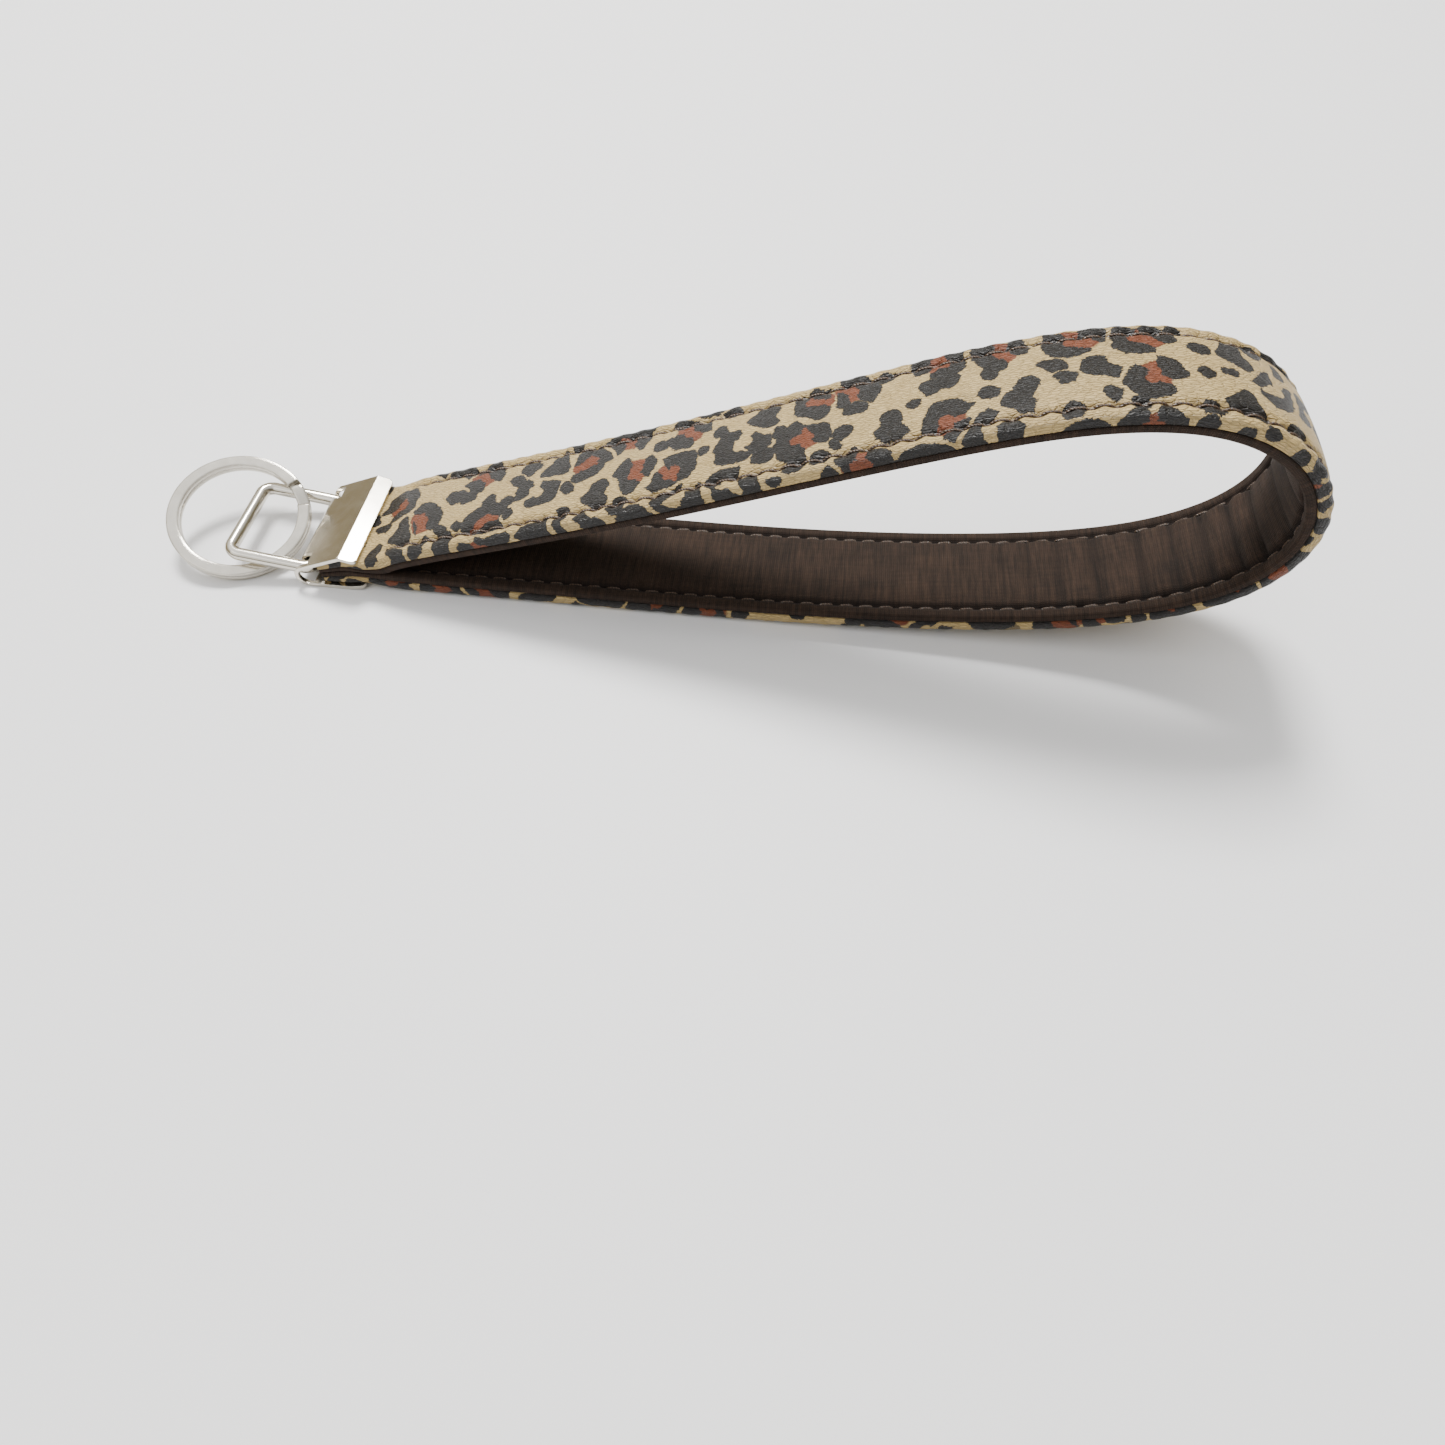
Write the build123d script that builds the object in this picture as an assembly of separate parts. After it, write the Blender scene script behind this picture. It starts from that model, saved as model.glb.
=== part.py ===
from build123d import *

import os
from math import atan2, cos, degrees, hypot, pi, radians, sin, tan

os.makedirs("parts", exist_ok=True)

# ---------------------------------------------------------------- driving dimensions (mm)
# x = 0 is the mouth of the clamp, +X runs to the far end of the hand loop, z = 0 is the table.

strap_w = 25.4            # one inch strap
strap_t = 4.4             # leather, padding and lining together, not squeezed
edge_t = 0.9              # leather folded round each long edge
leather_share = 0.20      # each layer's share of the thickness, from the leather side
edge_share = 0.60         # how far down the side the rolled leather edge reaches
lining_share = 0.18       # lining thickness on the inner side
turn_in = 6.0             # width of the hems folded inwards
lining_inset = 0.25       # the lining stays this far inside the leather edge
edge_round = 0.8          # rounding of the rolled leather edge
layer_gap = 0.005         # share of thickness left free between layers

stitch_inset = 3.0        # stitch rows, from the strap's edge
groove_w = 0.8            # furrow pressed into the surface by the row
groove_share = 0.09
thread_w = 0.6

sheet_t = 0.8             # clamp sheet metal
clamp_w = 26.4
clamp_l = 15.0            # from the fold to the mouth
fold_r = 2.75             # outer radius of the fold
jaw_deg = 22.0            # slope of the upper jaw
lip_l = 3.4               # length of the bent lips
top_lip_deg = 15.0        # the upper lip points down by this much
low_lip_deg = 10.0        # the lower lip points up by this much
jaw_corner_r = 1.2        # rounded corners of the sheet at the mouth
slot_in = 8.9             # slots for the wire loop, measured from the middle
slot_out = 12.3
slot_x = -11.55           # the slots end here
end_x = -9.5              # the strap ends inside the clamp
squeeze_gap = 0.05        # play between strap and sheet, and between the two strap ends
recover_l = 15.0          # the padding is back to full thickness this far from the mouth

wire_d = 2.8
loop_half_w = 10.6        # wire centre to the middle, across
loop_l = 17.9             # from the fold's centre to the far bar's centre
far_corner_r = 2.4
near_corner_r = 2.0
butt_gap = 1.0            # joint in the wire, hidden inside the fold
loop_tilt = 9.3           # the ring under the loop props its far end up

ring_od = 30.0
ring_wire_w = 2.6         # flattened wire, radial width
ring_wire_t = 1.2         # flattened wire, axial thickness
ring_pitch = 1.26         # from one coil to the next
ring_step_deg = 26.0      # the crossover takes this much of a turn
ring_reach = 19.6         # ring centre, from the fold's centre along the loop
ring_tilt = 16.2          # over one side bar, under the other

# Control polygon of the strap's outer (leather) surface, from the upper lip of the clamp
# over the crest, round the far end and back along the table to the lower lip.
loop_polygon = [
    (0.0, 7.5), (2.2, 7.8), (5.2, 9.9), (13.0, 12.9), (30.0, 18.5), (58.0, 28.0),
    (104.0, 46.0), (137.5, 58.4), (162.0, 59.9), (179.0, 50.8), (186.5, 35.5), (181.0, 19.5),
    (161.5, 8.2), (130.5, 2.6), (94.0, 0.1), (60.0, 0.0), (30.0, 0.0), (12.0, 0.0),
    (5.5, 0.0), (2.2, 1.2), (0.0, 1.5),
]
samples_per_span = 6

fold_x = fold_r - clamp_l
fold_z = fold_r


# ---------------------------------------------------------------- the strap's run
def spline_point(polygon, u):
    """Clamped uniform cubic B-spline, by de Boor's rule; u runs 0 to the number of spans."""
    spans = len(polygon) - 3
    knots = [0.0] * 3 + [float(i) for i in range(spans + 1)] + [float(spans)] * 3
    k = min(int(u), spans - 1) + 3
    pts = [polygon[j + k - 3] for j in range(4)]
    for r in range(1, 4):
        for j in range(3, r - 1, -1):
            low = knots[j + k - 3]
            a = (u - low) / (knots[j + 1 + k - r] - low)
            pts[j] = tuple((1 - a) * p + a * q for p, q in zip(pts[j - 1], pts[j]))
    return pts[3]


def jaw_top(x):
    """Height of the upper jaw's inner face."""
    lip_start = -lip_l
    slope = tan(radians(jaw_deg))
    tangent_x = fold_x - fold_r * sin(radians(jaw_deg))
    tangent_z = fold_z + fold_r * cos(radians(jaw_deg))
    flat = tangent_z + (x - tangent_x) * slope - sheet_t / cos(radians(jaw_deg))
    peak = tangent_z + (lip_start - tangent_x) * slope
    lip = peak - (x - lip_start) * tan(radians(top_lip_deg)) - sheet_t / cos(radians(top_lip_deg))
    return min(flat, lip)


def jaw_low(x):
    """Height of the lower jaw's inner face."""
    lip = (x + lip_l) * tan(radians(low_lip_deg)) + sheet_t / cos(radians(low_lip_deg))
    return max(sheet_t, lip)


def strap_sections():
    """Pairs of points (leather surface, lining surface) all along the strap."""
    inside = [end_x + i * (0.0 - end_x) / 8 for i in range(8)]
    rows = []
    for x in inside:
        middle = 0.5 * (jaw_top(x) + jaw_low(x))
        rows.append(((x, jaw_top(x) - squeeze_gap), (x, middle + squeeze_gap)))
    spans = len(loop_polygon) - 3
    count = spans * samples_per_span
    path = [spline_point(loop_polygon, spans * i / count) for i in range(count + 1)]
    length = [0.0]
    for a, b in zip(path[:-1], path[1:]):
        length.append(length[-1] + hypot(b[0] - a[0], b[1] - a[1]))
    mouth = 0.5 * (jaw_top(0.0) + jaw_low(0.0))
    for i, (x, z) in enumerate(path):
        a = path[max(i - 1, 0)]
        b = path[min(i + 1, count)]
        run = hypot(b[0] - a[0], b[1] - a[1])
        nx = (b[1] - a[1]) / run
        nz = -(b[0] - a[0]) / run
        free = min(min(length[i], length[-1] - length[i]) / recover_l, 1.0)
        ease = free * free * (3 - 2 * free)
        squeezed = abs(z - mouth) - squeeze_gap
        t = strap_t if free >= 1.0 else ease * strap_t + (1 - ease) * min(squeezed, strap_t)
        lean = min(free * 3.0, 1.0)
        nx = nx * lean
        size = hypot(nx, nz)
        inner_z = z + nz * t / size
        if free < 1.0:
            if z > mouth:
                inner_z = max(inner_z, mouth + squeeze_gap)
            else:
                inner_z = min(inner_z, mouth - squeeze_gap)
        rows.append(((x, z), (x + nx * t / size, inner_z)))
    for x in reversed(inside):
        middle = 0.5 * (jaw_top(x) + jaw_low(x))
        rows.append(((x, jaw_low(x) + squeeze_gap), (x, middle - squeeze_gap)))
    return rows


sections = strap_sections()


def at_share(share):
    return [(a[0] + (b[0] - a[0]) * share, a[1] + (b[1] - a[1]) * share) for a, b in sections]


def layer(y_from, y_to, share_from, share_to):
    """A strip of the strap: between two shares of its thickness, and between two widths."""
    outer = at_share(share_from)
    inner = at_share(share_to)
    near = Spline([(x, 0, z) for x, z in outer])
    far = Spline([(x, 0, z) for x, z in inner])
    ends = [Line(near @ 0, far @ 0), Line(near @ 1, far @ 1)]
    face = Face(Wire([near, ends[0], far, ends[1]]))
    strip = extrude(face, amount=y_to - y_from, dir=(0, 1, 0))
    return Pos(0, y_from, 0) * strip


def join(pieces):
    whole = pieces[0]
    for piece in pieces[1:]:
        whole = whole + piece
    return whole


half = strap_w / 2
row_y = half - stitch_inset
groove_edges = (row_y - groove_w / 2, row_y + groove_w / 2)

# ---------------------------------------------------------------- printed leather, edges turned in
leather_parts = [layer(-groove_edges[0], groove_edges[0], 0.0, leather_share)]
for side in (-1, 1):
    spans_y = [
        (groove_edges[0], groove_edges[1], groove_share, leather_share),
        (groove_edges[1], half - edge_t, 0.0, leather_share),
        (half - edge_t, half, 0.0, edge_share),
        (half - turn_in, half - edge_t, edge_share - 0.13, edge_share),
    ]
    for y0, y1, s0, s1 in spans_y:
        low, high = sorted((side * y0, side * y1))
        leather_parts.append(layer(low, high, s0, s1))
outer_band = join(leather_parts)


def on_rolled_edge(edge):
    box = edge.bounding_box()
    flat_in_y = box.max.Y - box.min.Y < 0.01
    at_side = abs(abs(box.max.Y) - half) < 0.01
    return flat_in_y and at_side and edge.length > 380.0


rolled = [e for e in outer_band.edges() if on_rolled_edge(e)]
rolled = sorted(rolled, key=lambda e: -e.length)[:2]
print("rolled edges", [round(e.length, 1) for e in rolled])
try:
    outer_band = fillet(rolled, edge_round)
except Exception as problem:
    print("the rolled edge stays square:", problem)

# ---------------------------------------------------------------- lining, edges turned under
lining_edge = half - lining_inset
lining_from = 1.0 - lining_share
lining_parts = [layer(-groove_edges[0], groove_edges[0], lining_from, 1.0)]
for side in (-1, 1):
    spans_y = [
        (groove_edges[0], groove_edges[1], lining_from, 1.0 - groove_share),
        (groove_edges[1], lining_edge, lining_from, 1.0),
        (half - turn_in, lining_edge, edge_share + layer_gap, lining_from),
    ]
    for y0, y1, s0, s1 in spans_y:
        low, high = sorted((side * y0, side * y1))
        lining_parts.append(layer(low, high, s0, s1))
lining_band = join(lining_parts)

# ---------------------------------------------------------------- padding
middle_half = half - turn_in - 0.1
core_parts = [layer(-middle_half, middle_half, leather_share + layer_gap, lining_from - layer_gap)]
for side in (-1, 1):
    low, high = sorted((side * middle_half, side * (half - edge_t - 0.1)))
    core_parts.append(layer(low, high, leather_share + layer_gap, edge_share - 0.13 - layer_gap))
padding_core = join(core_parts)


# ---------------------------------------------------------------- thread rows, lying in their furrows
def thread(side, share_from, share_to):
    low = side * row_y - thread_w / 2
    return layer(low, low + thread_w, share_from, share_to)


needle_share = (0.005, groove_share - 0.005)
bobbin_share = (1.0 - groove_share + 0.005, 0.995)

# ---------------------------------------------------------------- clamp
tangent = (fold_x - fold_r * sin(radians(jaw_deg)), fold_z + fold_r * cos(radians(jaw_deg)))
arc_middle = radians(180.0 + 0.5 * jaw_deg)


def jaw_outer(x):
    if x < -lip_l:
        return tangent[1] + (x - tangent[0]) * tan(radians(jaw_deg))
    peak = tangent[1] + (-lip_l - tangent[0]) * tan(radians(jaw_deg))
    return peak - (x + lip_l) * tan(radians(top_lip_deg))


def lip_break():
    """Where the flat of the upper jaw's inner face meets its lip."""
    a = tan(radians(jaw_deg))
    b = tan(radians(top_lip_deg))
    push = sheet_t / cos(radians(jaw_deg)) - sheet_t / cos(radians(top_lip_deg))
    return -lip_l + push / (a + b)


low_break = (sheet_t - sheet_t / cos(radians(low_lip_deg))) / tan(radians(low_lip_deg)) - lip_l
inner_r = fold_r - sheet_t
inner_tangent = (
    fold_x - inner_r * sin(radians(jaw_deg)),
    fold_z + inner_r * cos(radians(jaw_deg)),
)
bend = radians(180.0 + 0.5 * jaw_deg)
mid_out = (fold_x + fold_r * cos(bend), fold_z + fold_r * sin(bend))
mid_in = (fold_x + inner_r * cos(bend), fold_z + inner_r * sin(bend))
outline = [
    Line((0, 0, lip_l * tan(radians(low_lip_deg))), (-lip_l, 0, 0)),
    Line((-lip_l, 0, 0), (fold_x, 0, 0)),
    ThreePointArc((fold_x, 0, 0), (mid_out[0], 0, mid_out[1]), (tangent[0], 0, tangent[1])),
    Line((tangent[0], 0, tangent[1]), (-lip_l, 0, jaw_outer(-lip_l))),
    Line((-lip_l, 0, jaw_outer(-lip_l)), (0, 0, jaw_outer(0))),
    Line((0, 0, jaw_outer(0)), (0, 0, jaw_top(0))),
    Line((0, 0, jaw_top(0)), (lip_break(), 0, jaw_top(lip_break()))),
    Line((lip_break(), 0, jaw_top(lip_break())), (inner_tangent[0], 0, inner_tangent[1])),
    ThreePointArc(
        (inner_tangent[0], 0, inner_tangent[1]),
        (mid_in[0], 0, mid_in[1]),
        (fold_x, 0, sheet_t),
    ),
    Line((fold_x, 0, sheet_t), (low_break, 0, sheet_t)),
    Line((low_break, 0, sheet_t), (0, 0, jaw_low(0))),
    Line((0, 0, jaw_low(0)), (0, 0, lip_l * tan(radians(low_lip_deg)))),
]
clamp_face = Face(Wire(outline))
clamp_shell = Pos(0, -clamp_w / 2, 0) * extrude(clamp_face, amount=clamp_w, dir=(0, 1, 0))
for side in (-1, 1):
    slot_y = side * (slot_in + slot_out) / 2
    slot = Box(10, slot_out - slot_in, 30)
    clamp_shell = clamp_shell - Pos(slot_x - 5, slot_y, 0) * slot


def is_mouth_corner(edge):
    box = edge.bounding_box()
    at_mouth = abs(box.max.X) < 0.01 and abs(box.min.X) < 0.01
    at_side = abs(abs(box.max.Y) - clamp_w / 2) < 0.01
    return at_mouth and at_side and box.max.Y - box.min.Y < 0.01


corners = [e for e in clamp_shell.edges() if is_mouth_corner(e)]
clamp_shell = fillet(corners, jaw_corner_r)

# ---------------------------------------------------------------- wire loop
hw = loop_half_w
far_x = -loop_l
loop_path = Wire([
    Line((0, -butt_gap / 2, 0), (0, -hw + near_corner_r, 0)),
    CenterArc((-near_corner_r, -hw + near_corner_r, 0), near_corner_r, 0, -90),
    Line((-near_corner_r, -hw, 0), (far_x + far_corner_r, -hw, 0)),
    CenterArc((far_x + far_corner_r, -hw + far_corner_r, 0), far_corner_r, 270, -90),
    Line((far_x, -hw + far_corner_r, 0), (far_x, hw - far_corner_r, 0)),
    CenterArc((far_x + far_corner_r, hw - far_corner_r, 0), far_corner_r, 180, -90),
    Line((far_x + far_corner_r, hw, 0), (-near_corner_r, hw, 0)),
    CenterArc((-near_corner_r, hw - near_corner_r, 0), near_corner_r, 90, -90),
    Line((0, hw - near_corner_r, 0), (0, butt_gap / 2, 0)),
])
start = Plane(origin=loop_path @ 0, z_dir=loop_path % 0)
wire_loop = sweep(start * Circle(wire_d / 2), path=loop_path)
to_fold = Pos(fold_x, 0, fold_z) * Rot(0, loop_tilt, 0)
wire_loop = to_fold * wire_loop


# ---------------------------------------------------------------- split ring
def ring_height(turn_deg):
    """Height of the wire's middle: level coils joined by one smooth step."""
    share = min(max((turn_deg - 360.0) / ring_step_deg, 0.0), 1.0)
    return ring_pitch * (share * share * (3 - 2 * share) - 0.5)


ring_mid_r = (ring_od - ring_wire_w) / 2
coil = Plane.XZ * Pos(ring_mid_r, 0) * RectangleRounded(ring_wire_w, ring_wire_t, 0.35)
level_turn = 360.0 - ring_step_deg
flat_coil = revolve(coil, axis=Axis.Z, revolution_arc=level_turn)
lower_coil = Pos(0, 0, -ring_pitch / 2) * Rot(0, 0, ring_step_deg) * flat_coil
upper_coil = Pos(0, 0, ring_pitch / 2) * Rot(0, 0, ring_step_deg) * flat_coil
step_points = []
for i in range(9):
    turn = 360.0 + ring_step_deg * i / 8
    a = radians(turn)
    step_points.append((ring_mid_r * cos(a), ring_mid_r * sin(a), ring_height(turn)))
end_a = radians(ring_step_deg)
step_path = Spline(step_points, tangents=[(0, 1, 0), (-sin(end_a), cos(end_a), 0)])
step_start = Pos(0, 0, -ring_pitch / 2) * coil
step = sweep(step_start, path=step_path, normal=(0, 0, 1))
split_ring = lower_coil + step + upper_coil
ring_at = Pos(-ring_reach, 0, 0) * Rot(ring_tilt, 0, 0) * Rot(0, 0, 24)
split_ring = to_fold * ring_at * split_ring

# ---------------------------------------------------------------- write the pieces
pieces = {
    "clamp_shell": clamp_shell,
    "wire_loop": wire_loop,
    "split_ring": split_ring,
    "outer_band": outer_band,
    "padding_core": padding_core,
    "lining_band": lining_band,
    "needle_thread_front": thread(-1, *needle_share),
    "needle_thread_back": thread(1, *needle_share),
    "bobbin_thread_front": thread(-1, *bobbin_share),
    "bobbin_thread_back": thread(1, *bobbin_share),
}
boxes = {name: solid.bounding_box() for name, solid in pieces.items()}
low_x = min(b.min.X for b in boxes.values())
high_x = max(b.max.X for b in boxes.values())
low_y = min(b.min.Y for b in boxes.values())
high_y = max(b.max.Y for b in boxes.values())
low_z = min(b.min.Z for b in boxes.values())
shift = Pos(-(low_x + high_x) / 2, -(low_y + high_y) / 2, -low_z)
print("shift", [round(v, 3) for v in (-(low_x + high_x) / 2, -(low_y + high_y) / 2, -low_z)])
for name, solid in pieces.items():
    placed = shift * solid
    solids = placed.solids()
    box = placed.bounding_box()
    print(name, len(solids), "solid(s)", round(placed.volume, 1), "mm3", box.min, box.max)
    export_step(placed, "parts/" + name + ".step")
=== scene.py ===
# %% [markdown]
# A wristlet keychain: a padded strap with a large cat print, folded into a hand loop,
# crimped into a folded nickel clamp that holds a wire loop and a split ring.
# The metal parts come from the CAD frame. The soft strap is worked out here,
# as surfaces carried along one curve, because its charm is in seams, puckers and print.

# %% load the frame
import bpy
import numpy as np
from mathutils import Matrix, Vector


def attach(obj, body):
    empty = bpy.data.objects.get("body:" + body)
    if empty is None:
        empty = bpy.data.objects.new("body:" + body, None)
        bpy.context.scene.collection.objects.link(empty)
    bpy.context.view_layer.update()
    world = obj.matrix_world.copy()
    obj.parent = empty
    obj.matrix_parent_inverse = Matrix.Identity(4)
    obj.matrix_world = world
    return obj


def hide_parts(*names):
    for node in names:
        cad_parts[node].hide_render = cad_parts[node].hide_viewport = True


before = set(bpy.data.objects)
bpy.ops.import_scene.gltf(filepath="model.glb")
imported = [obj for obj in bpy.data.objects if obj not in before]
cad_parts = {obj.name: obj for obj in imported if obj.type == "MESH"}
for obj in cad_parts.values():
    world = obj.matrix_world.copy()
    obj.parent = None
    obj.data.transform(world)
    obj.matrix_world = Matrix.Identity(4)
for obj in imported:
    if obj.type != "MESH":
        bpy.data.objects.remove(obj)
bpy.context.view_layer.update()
MM = 0.001

# %% [markdown]
# The camera looks down from close by with a wide lens, which makes the near edge of the
# strap larger than the far one. Its lens, place and angles were not chosen here: they are
# the rounded result of a curve and camera fit made outside this script.
# A camera in Blender looks along its own -Z with +Y up, so three axes are worked out from
# the tilt, the turn and the roll, and written as the columns of its matrix.

# %% camera
MOUTH_X = -68.91 * MM               # the clamp's mouth, in the frame's own x
eye = Vector((MOUTH_X + 93.3 * MM, -150.5 * MM, 155.1 * MM))
tilt, turn, roll = np.radians([54.16, -6.4, 0.27])
ahead = Vector((np.sin(turn) * np.cos(tilt), np.cos(turn) * np.cos(tilt), -np.sin(tilt)))
level_right = Vector((np.cos(turn), -np.sin(turn), 0.0))
level_up = level_right.cross(ahead)
right = level_right * np.cos(roll) + level_up * np.sin(roll)
up = level_up * np.cos(roll) - level_right * np.sin(roll)
camera_data = bpy.data.cameras.new("camera")
camera_data.sensor_width = 36.0
camera_data.lens = 24.31
camera_data.clip_start = 0.005
camera = bpy.data.objects.new("camera", camera_data)
axes = Matrix((right, up, -ahead)).transposed()
camera.matrix_world = Matrix.Translation(eye) @ axes.to_4x4()
bpy.context.scene.collection.objects.link(camera)
bpy.context.scene.camera = camera
print("lens", round(camera_data.lens, 2), "mm")

# %% [markdown]
# The floor is a plain pale sheet. The light is one large soft lamp high behind the strap,
# so the shadows fall softly towards us, a weaker one from the front left, and a pale sky.
# Polished metal shows whatever is around it: the sky is warm and dim near the horizon and
# white overhead, so the sloping jaw looks dark olive and the lip next to it nearly white. It
# is also brighter to the left and behind, where the window would be, which leaves the outside
# of the far bend in the shade.


# %% floor and light
def plane_mesh(name, size_x, size_y, z):
    """Four corners of a level rectangle, centred on the origin."""
    mesh = bpy.data.meshes.new(name)
    x, y = size_x / 2, size_y / 2
    mesh.from_pydata([(-x, -y, z), (x, -y, z), (x, y, z), (-x, y, z)], [], [(0, 1, 2, 3)])
    piece = bpy.data.objects.new(name, mesh)
    bpy.context.scene.collection.objects.link(piece)
    return piece


def node_material(name):
    """A new material with one Principled shader; gives the material, its tree and the shader."""
    material = bpy.data.materials.new(name)
    material.use_nodes = True
    tree = material.node_tree
    return material, tree, tree.nodes["Principled BSDF"]


floor = plane_mesh("floor", 6.0, 6.0, -0.0001)
floor_material, _, floor_shader = node_material("pale_floor")
floor_shader.inputs["Base Color"].default_value = (0.84, 0.84, 0.85, 1.0)
floor_shader.inputs["Roughness"].default_value = 0.55
floor.data.materials.append(floor_material)


def area_lamp(name, place, target, size, watts, colour=(1.0, 1.0, 1.0)):
    """A square soft lamp at a place, facing a target."""
    data = bpy.data.lights.new(name, "AREA")
    data.size = size
    data.energy = watts
    data.color = colour
    lamp = bpy.data.objects.new(name, data)
    lamp.location = place
    lamp.rotation_euler = (Vector(target) - Vector(place)).to_track_quat("-Z", "Y").to_euler()
    bpy.context.scene.collection.objects.link(lamp)
    return lamp


area_lamp("back_softbox", (-0.20, 0.68, 1.15), (0.0, 0.0, 0.0), 0.38, 33.0, (1.0, 0.99, 0.97))
area_lamp("front_fill", (-0.55, -0.65, 0.60), (0.0, 0.0, 0.02), 0.9, 2.4, (0.96, 0.98, 1.0))

world = bpy.data.worlds.new("sky")
bpy.context.scene.world = world
world.use_nodes = True
sky = world.node_tree
sky_shader = sky.nodes["Background"]
sky_direction = sky.nodes.new("ShaderNodeTexCoord")
sky_split = sky.nodes.new("ShaderNodeSeparateXYZ")
sky_ramp = sky.nodes.new("ShaderNodeValToRGB")
sky.links.new(sky_direction.outputs["Generated"], sky_split.inputs[0])
sky.links.new(sky_split.outputs["Z"], sky_ramp.inputs["Fac"])
to_window = sky.nodes.new("ShaderNodeVectorMath")
to_window.operation = "DOT_PRODUCT"
to_window.inputs[1].default_value = (-0.50, 0.28, 0.0)
sky.links.new(sky_direction.outputs["Generated"], to_window.inputs[0])
side_level = sky.nodes.new("ShaderNodeMath")
side_level.inputs[1].default_value = 0.86
sky.links.new(to_window.outputs["Value"], side_level.inputs[0])
sky_level = sky.nodes.new("ShaderNodeVectorMath")
sky_level.operation = "SCALE"
sky.links.new(sky_ramp.outputs["Color"], sky_level.inputs[0])
sky.links.new(side_level.outputs[0], sky_level.inputs["Scale"])
sky.links.new(sky_level.outputs[0], sky_shader.inputs["Color"])
stops = sky_ramp.color_ramp.elements
stops[0].position, stops[0].color = 0.0, (0.11, 0.088, 0.050, 1.0)
stops[1].position, stops[1].color = 0.76, (1.0, 1.0, 1.0, 1.0)
for height, colour in ((0.30, (0.22, 0.185, 0.115, 1.0)), (0.62, (0.55, 0.54, 0.51, 1.0))):
    stops.new(height).color = colour
sky_shader.inputs["Strength"].default_value = 1.75

# %% [markdown]
# The strap's run is one curve in the plane across its width: from the upper jaw of the clamp
# over the crest, round the far end and flat along the table to the lower jaw. A B-spline with
# few control points bends like a springy strip. The points over the crest and round the far
# end are the rounded result of the same fit. Those at the clamp and on the table were set one
# by one. Everything soft is placed by three numbers: how far along the strap, how far across,
# and how deep from the leather towards the lining.

# %% the strap's run
STRAP_W, STRAP_T = 25.4, 4.4          # width and free thickness, mm
LOOP_POLYGON = np.array([
    (0.0, 7.5), (2.2, 7.8), (5.2, 9.9), (13.0, 12.9), (30.0, 18.5), (58.0, 28.0),
    (104.0, 46.0), (137.5, 58.4), (162.0, 59.9), (179.0, 50.8), (186.5, 35.5), (181.0, 19.5),
    (161.5, 8.2), (130.5, 2.6), (94.0, 0.1), (60.0, 0.0), (30.0, 0.0), (12.0, 0.0),
    (5.5, 0.0), (2.2, 1.2), (0.0, 1.5),
])


def spline_run(polygon, count):
    """Clamped uniform cubic B-spline: each basis function is built up from degree 0 to 3 by
    the Cox-de Boor rule, and the points are the basis times the control points."""
    spans = len(polygon) - 3
    knots = np.concatenate([[0.0] * 3, np.arange(spans + 1.0), [float(spans)] * 3])
    u = np.linspace(0.0, spans - 1e-9, count)
    basis = ((u[:, None] >= knots[:-1]) & (u[:, None] < knots[1:])).astype(float)
    for degree in range(1, 4):
        low, high = knots[:-degree - 1], knots[degree + 1:]
        rise = knots[degree:-1] - low
        fall = high - knots[1:-degree]
        left = np.where(rise > 0, (u[:, None] - low) / np.where(rise > 0, rise, 1), 0)
        down = np.where(fall > 0, (high - u[:, None]) / np.where(fall > 0, fall, 1), 0)
        basis = left * basis[:, :-1] + down * basis[:, 1:]
    return basis @ polygon


FOLD_X, FOLD_Z, FOLD_R = -12.25, 2.75, 2.75   # fold axis of the clamp, and its outer radius
SHEET = 0.8                                   # thickness of the clamp's sheet
JAW, TOP_LIP, LOW_LIP, LIP_L = np.radians(22.0), np.radians(15.0), np.radians(10.0), 3.4
INNER_END = -9.5                              # the strap ends this far inside the clamp
SQUEEZE_GAP, RECOVER_L = 0.05, 15.0           # play in the clamp, and way back to full thickness
INSIDE_STATIONS = 40                          # stations along each end inside the clamp


def jaw_top(x):
    """Inner face of the upper jaw: the lower of the sloping flat and the bent lip."""
    tangent_x, tangent_z = FOLD_X - FOLD_R * np.sin(JAW), FOLD_Z + FOLD_R * np.cos(JAW)
    flat = tangent_z + (x - tangent_x) * np.tan(JAW) - SHEET / np.cos(JAW)
    peak = tangent_z + (-LIP_L - tangent_x) * np.tan(JAW)
    lip = peak - (x + LIP_L) * np.tan(TOP_LIP) - SHEET / np.cos(TOP_LIP)
    return np.minimum(flat, lip)


def jaw_low(x):
    """Inner face of the lower jaw: the higher of the flat sheet and the bent lip."""
    return np.maximum(SHEET, (x + LIP_L) * np.tan(LOW_LIP) + SHEET / np.cos(LOW_LIP))


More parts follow.
